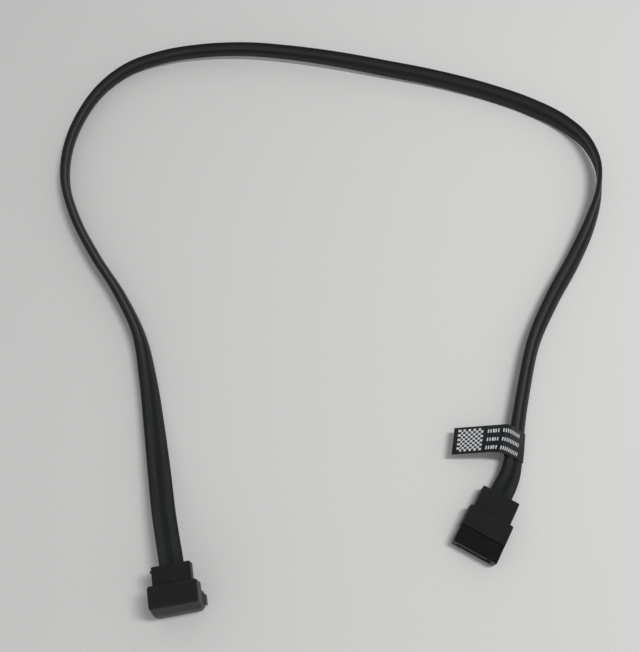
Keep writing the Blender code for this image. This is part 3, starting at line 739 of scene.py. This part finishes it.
def ribbon_channel(place, start, end):
    """What the ribbon leaves open in the boot moulded round it, in the plug's own frame."""
    to_plug = place.inverted()
    wide, tall = 1 + 2 * MOULD_LINE / RIBBON_WIDTH, 1 + 2 * MOULD_LINE / RIBBON_THICKNESS
    runs = np.linspace(start, end, CHANNEL_RINGS)
    rings = []
    for at in runs:
        middle, run, across, through = station(at)
        rings.append([to_plug @ (middle + across * x * wide + through * z * tall) for x, z in section])
    return skin("ribbon_channel", rings, runs - start)


def hollow(grip, room_start, grip_end, exit_at, middle, extra):
    """Opens the room for the wires, the narrower way on to the ribbon's end, and whatever else is given."""
    room_end = min(exit_at - RIBBON_IN_BOOT, grip_end)
    half = WIRE_ROOM_HEIGHT / 2
    low, high = (-WIRE_ROOM_SIDE, room_start, middle - half), (WIRE_ROOM_SIDE, room_end, middle + half)
    cutters = extra + [start_block("wire_room", low, high)]
    side, half, wires_end = RIBBON_WIDTH / 2 + FIT, RIBBON_THICKNESS / 2 + FIT, exit_at - RIBBON_IN_BOOT
    low, high = (-side, room_end - FIT, middle - half), (side, wires_end + MOULD_LINE, middle + half)
    return combine(grip, cutters + [start_block("wire_channel", low, high)], "DIFFERENCE")


# Moulded soft PVC with a fine spark-eroded texture: a matt black that catches light as a faint grain, with
# cloudy patches from handling. The texture is about 0.05 mm, and is drawn at 0.16 mm so that it shows.
GRIP_GRAIN = 0.00016
GRIP_PATCH = 0.00385
overmould, tree, shader = start_material("moulded_soft_pvc")
place = add_node(tree, "ShaderNodeTexCoord")
grain = add_node(
    tree,
    "ShaderNodeTexNoise",
    {"Vector": place.outputs["Object"], "Scale": 1 / GRIP_GRAIN, "Detail": 3.0, "Roughness": 0.6},
)
handled = add_node(
    tree,
    "ShaderNodeTexNoise",
    {"Vector": place.outputs["Object"], "Scale": 1 / GRIP_PATCH, "Detail": 4.0},
)
tone = add_node(
    tree,
    "ShaderNodeMix",
    {0: handled.outputs["Fac"], 6: linear("161617"), 7: linear("1F2021")},
    data_type="RGBA",
)
gloss = add_node(
    tree, "ShaderNodeMapRange", {"Value": handled.outputs["Fac"], "To Min": 0.44, "To Max": 0.58}
)
relief = add_node(
    tree, "ShaderNodeBump", {"Height": grain.outputs["Fac"], "Strength": 0.35, "Distance": 0.00004}
)
tree.links.new(tone.outputs[2], shader.inputs["Base Color"])
tree.links.new(gloss.outputs[0], shader.inputs["Roughness"])
tree.links.new(relief.outputs[0], shader.inputs["Normal"])
shader.inputs["Specular IOR Level"].default_value = 0.30

grip = start_block(
    "straight_grip",
    (-GRIP_WIDTH / 2, STRAIGHT_GRIP_START, 0.0),
    (GRIP_WIDTH / 2, STRAIGHT_GRIP_END, STRAIGHT_GRIP_HEIGHT),
)
upper, back = STRAIGHT_GRIP_HEIGHT / 2, STRAIGHT_GRIP_END - FIT
round_edges(
    grip,
    STRAIGHT_GRIP_EDGE,
    GRIP_EDGE_STEPS,
    lambda a, b: min(a.z, b.z) > upper or min(a.y, b.y) > back,
)
combine(grip, [boot_block(STRAIGHT_BOOT_WIDTH, STRAIGHT_GRIP_END, STRAIGHT_EXIT, STRAIGHT_MIDDLE)], "UNION")
seat = start_block(
    "seat",
    (-TONGUE_WIDTH / 2 - FIT, STRAIGHT_GRIP_START - FIT, STRAIGHT_MIDDLE - TONGUE_THICKNESS / 2 - FIT),
    (TONGUE_WIDTH / 2 + FIT, TONGUE_END + FIT, STRAIGHT_MIDDLE + TONGUE_THICKNESS / 2 + FIT),
)
channel = ribbon_channel(STRAIGHT_PLACE, along[-1] - RIBBON_IN_BOOT - FIT, along[-1])
hollow(grip, TONGUE_END, STRAIGHT_GRIP_END, STRAIGHT_EXIT, STRAIGHT_MIDDLE, [seat, channel])
settle(grip, STRAIGHT_PLACE, overmould, "grip_overmould", "straight_plug_overmould")


# The right-angle plug's grip: the same soft PVC, a tall block that stands on the insulator, with its upper
# front leaning back and the boot at the ribbon's height behind.
ANGLED_GRIP_BASE = HOUSING_LENGTH + MOULD_LINE
ANGLED_HEIGHT = 0.0150
ANGLED_GRIP_DEPTH = 0.0079
ANGLED_FRONT_LEAN = 0.0016
ANGLED_GRIP_EDGE = 0.0008
ANGLED_BOOT_WIDTH = 0.0114

# The nub that the mould's gate left on the boot's side, placed from the boot's end and the ribbon's middle.
GATE_RADIUS = 0.00040
GATE_PROUD = 0.00040
GATE_FROM_END = 0.0013
GATE_ABOVE = 0.0013
GATE_SIDES = 24

# Faces that meet at less than this are one flat face.
FLAT_WITHIN = math.radians(5)

grip = start_block(
    "angled_grip",
    (-GRIP_WIDTH / 2, 0.0, ANGLED_GRIP_BASE),
    (GRIP_WIDTH / 2, ANGLED_GRIP_DEPTH, ANGLED_HEIGHT),
)
seat_top = TONGUE_END + FIT
pick_edges(grip, lambda a, b: True)
bpy.ops.mesh.bisect(plane_co=(0.0, 0.0, seat_top), plane_no=(0.0, 0.0, 1.0))
bpy.ops.object.mode_set(mode="OBJECT")
pick_edges(grip, lambda a, b: max(a.y, b.y) < FIT and min(a.z, b.z) > ANGLED_HEIGHT - FIT)
bpy.ops.transform.translate(value=(0.0, ANGLED_FRONT_LEAN, 0.0))
bpy.ops.mesh.select_all(action="SELECT")
bpy.ops.mesh.dissolve_limited(angle_limit=FLAT_WITHIN)
bpy.ops.object.mode_set(mode="OBJECT")
round_edges(
    grip, ANGLED_GRIP_EDGE, GRIP_EDGE_STEPS, lambda a, b: max(a.z, b.z) > ANGLED_GRIP_BASE + FIT
)
boot = boot_block(ANGLED_BOOT_WIDTH, ANGLED_GRIP_DEPTH, ANGLED_EXIT, ANGLED_CABLE_HEIGHT)
bpy.ops.object.select_all(action="DESELECT")
bpy.ops.mesh.primitive_cylinder_add(
    vertices=GATE_SIDES,
    radius=GATE_RADIUS,
    depth=2 * GATE_PROUD,
    location=(-ANGLED_BOOT_WIDTH / 2, ANGLED_EXIT - GATE_FROM_END, ANGLED_CABLE_HEIGHT + GATE_ABOVE),
    rotation=(0.0, math.radians(90), 0.0),
)
bpy.ops.object.transform_apply()
combine(grip, [boot, bpy.context.object], "UNION")
seat = start_block(
    "seat",
    (-TONGUE_WIDTH / 2 - FIT, ANGLED_MIDDLE - TONGUE_THICKNESS / 2 - FIT, ANGLED_GRIP_BASE - FIT),
    (TONGUE_WIDTH / 2 + FIT, ANGLED_MIDDLE + TONGUE_THICKNESS / 2 + FIT, seat_top),
)

# The contacts' tails rise in a shaft of their own, up to the room for the wires.
blade_back = ANGLED_MIDDLE + SLOT_HEIGHT / 2 - CONTACT_THICKNESS / 2 - FIT
shaft = start_block(
    "contact_shaft",
    (-WIRE_ROOM_SIDE, blade_back, seat_top - FIT),
    (WIRE_ROOM_SIDE, blade_back + WIRE_ROOM_HEIGHT, ANGLED_CABLE_HEIGHT + FIT),
)
channel = ribbon_channel(ANGLED_PLACE, 0.0, RIBBON_IN_BOOT + FIT)
hollow(grip, blade_back, ANGLED_GRIP_DEPTH, ANGLED_EXIT, ANGLED_CABLE_HEIGHT, [seat, shaft, channel])
settle(grip, ANGLED_PLACE, overmould, "grip_overmould", "angled_plug_overmould")


# The contacts and the wires: stamped bronze blades with a gold flash, foamed sleeves on the four signal
# cores, and bare tinned drain wires between them.
ROLLED_GRAIN = 0.0002
FOAM_CELL = 0.000143
TIN_PATCH = 0.000167

# Gold flashed over rolled bronze: a warm, bright metal with softly uneven shine. The rolled grain, of some
# hundredths of a millimetre, is drawn at 0.2 mm so that it shows.
gold, tree, shader = start_material("gold_flashed_bronze")
place = add_node(tree, "ShaderNodeTexCoord")
rolled = add_node(
    tree,
    "ShaderNodeTexNoise",
    {"Vector": place.outputs["Object"], "Scale": 1 / ROLLED_GRAIN, "Detail": 2.0},
)
tone = add_node(
    tree,
    "ShaderNodeMix",
    {0: rolled.outputs["Fac"], 6: linear("B98F45"), 7: linear("E0BC72")},
    data_type="RGBA",
)
gloss = add_node(
    tree, "ShaderNodeMapRange", {"Value": rolled.outputs["Fac"], "To Min": 0.18, "To Max": 0.36}
)
tree.links.new(tone.outputs[2], shader.inputs["Base Color"])
tree.links.new(gloss.outputs[0], shader.inputs["Roughness"])
shader.inputs["Metallic"].default_value = 1.0

# Foamed polyethylene: a milky white skin, slightly pitted. The cells, of some hundredths of a millimetre,
# are drawn at 0.14 mm so that they show.
sleeve, tree, shader = start_material("foamed_polyethylene_sleeve")
place = add_node(tree, "ShaderNodeTexCoord")
foam = add_node(
    tree,
    "ShaderNodeTexNoise",
    {"Vector": place.outputs["Object"], "Scale": 1 / FOAM_CELL, "Detail": 3.0},
)
tone = add_node(
    tree,
    "ShaderNodeMix",
    {0: foam.outputs["Fac"], 6: linear("CFCABC"), 7: linear("E2DED2")},
    data_type="RGBA",
)
relief = add_node(
    tree, "ShaderNodeBump", {"Height": foam.outputs["Fac"], "Strength": 0.2, "Distance": 0.00003}
)
tree.links.new(tone.outputs[2], shader.inputs["Base Color"])
tree.links.new(relief.outputs[0], shader.inputs["Normal"])

# Hot-dipped tin on copper: a pale grey metal, dull in patches about as wide as half a wire.
tinned, tree, shader = start_material("tinned_copper_wire")
place = add_node(tree, "ShaderNodeTexCoord")
dull = add_node(
    tree,
    "ShaderNodeTexNoise",
    {"Vector": place.outputs["Object"], "Scale": 1 / TIN_PATCH, "Detail": 2.0},
)
tone = add_node(
    tree,
    "ShaderNodeMix",
    {0: dull.outputs["Fac"], 6: linear("A9A9A5"), 7: linear("CBCBC7")},
    data_type="RGBA",
)
gloss = add_node(
    tree, "ShaderNodeMapRange", {"Value": dull.outputs["Fac"], "To Min": 0.22, "To Max": 0.42}
)
tree.links.new(tone.outputs[2], shader.inputs["Base Color"])
tree.links.new(gloss.outputs[0], shader.inputs["Roughness"])
shader.inputs["Metallic"].default_value = 1.0

for name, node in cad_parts.items():
    for part, material in (("_contact_", gold), ("_core_wire_", sleeve), ("_drain_wire_", tinned)):
        if part in name:
            node.data.materials.clear()
            node.data.materials.append(material)


# The table and the light: a plain pale laminate that the cable lies on, a wide soft lamp high up on the
# right, and the even light of the room.
TABLE_SIZE = 2.0
LAMINATE_SPECK = 0.000714
bpy.ops.object.select_all(action="DESELECT")
bpy.ops.mesh.primitive_plane_add(size=TABLE_SIZE)
table = bpy.context.object
table.name = "table"

# Melamine laminate: a matt pale grey with a faint printed speckle, 0.7 mm wide.
laminate, tree, shader = start_material("pale_laminate")
place = add_node(tree, "ShaderNodeTexCoord")
speck = add_node(
    tree,
    "ShaderNodeTexNoise",
    {"Vector": place.outputs["Object"], "Scale": 1 / LAMINATE_SPECK, "Detail": 3.0},
)
tone = add_node(
    tree,
    "ShaderNodeMix",
    {0: speck.outputs["Fac"], 6: linear("C6C6C5"), 7: linear("D2D2D1")},
    data_type="RGBA",
)
tree.links.new(tone.outputs[2], shader.inputs["Base Color"])
shader.inputs["Roughness"].default_value = 0.7
shader.inputs["Specular IOR Level"].default_value = 0.3
table.data.materials.append(laminate)

# The lamp is wide from left to right and narrow from front to back. It leans outwards, so that the left of
# the table gets less of its light than the right.
LAMP_PLACE = Vector((0.30, 0.06, 0.80))
LAMP_SIZE = (0.44, 0.12)
LAMP_POWER = 5.2
LAMP_LEAN = -math.atan2(LAMP_PLACE.x, LAMP_PLACE.z)
lamp_data = bpy.data.lights.new("soft_lamp", "AREA")
lamp_data.shape = "ELLIPSE"
lamp_data.size, lamp_data.size_y = LAMP_SIZE
lamp_data.energy = LAMP_POWER
lamp = bpy.data.objects.new("soft_lamp", lamp_data)
lamp.visible_glossy = False
lamp.location = LAMP_PLACE
lamp.rotation_euler = (0.0, LAMP_LEAN, 0.0)
bpy.context.scene.collection.objects.link(lamp)

# The room's even light, and what shiny faces mirror: dim walls, a bright band above them, and a dark ceiling
# right overhead. Each step has its height, from 0 at the walls' foot to 1 overhead, and its brightness.
AMBIENT = 0.49
MIRRORED_ROOM = ((0.0, 0.22), (0.40, 0.34), (0.66, 0.76), (0.90, 0.12))
DARKEST_WAY = Vector((0.0, -0.05, 1.0)).normalized()
world = bpy.data.worlds.new("studio")
world.use_nodes = True
tree = world.node_tree
sky = add_node(tree, "ShaderNodeTexCoord")
overhead = add_node(
    tree,
    "ShaderNodeVectorMath",
    {0: sky.outputs["Generated"], 1: DARKEST_WAY},
    operation="DOT_PRODUCT",
)
mirrored = add_node(tree, "ShaderNodeValToRGB", {"Fac": overhead.outputs["Value"]})
mirrored.color_ramp.interpolation = "EASE"
for height, level in MIRRORED_ROOM[1:-1]:
    mirrored.color_ramp.elements.new(height)
for stop, (height, level) in zip(mirrored.color_ramp.elements, MIRRORED_ROOM):
    stop.position = height
    stop.color = (level, level, level, 1.0)
ray = add_node(tree, "ShaderNodeLightPath")
strength = add_node(
    tree, "ShaderNodeMix", {0: ray.outputs["Is Glossy Ray"], 2: AMBIENT, 3: mirrored.outputs[0]}
)
tree.links.new(strength.outputs[0], tree.nodes["Background"].inputs["Strength"])
tree.nodes["Background"].inputs["Color"].default_value = (1.0, 1.0, 1.0, 1.0)
bpy.context.scene.world = world
bpy.context.scene.view_settings.view_transform = "Standard"
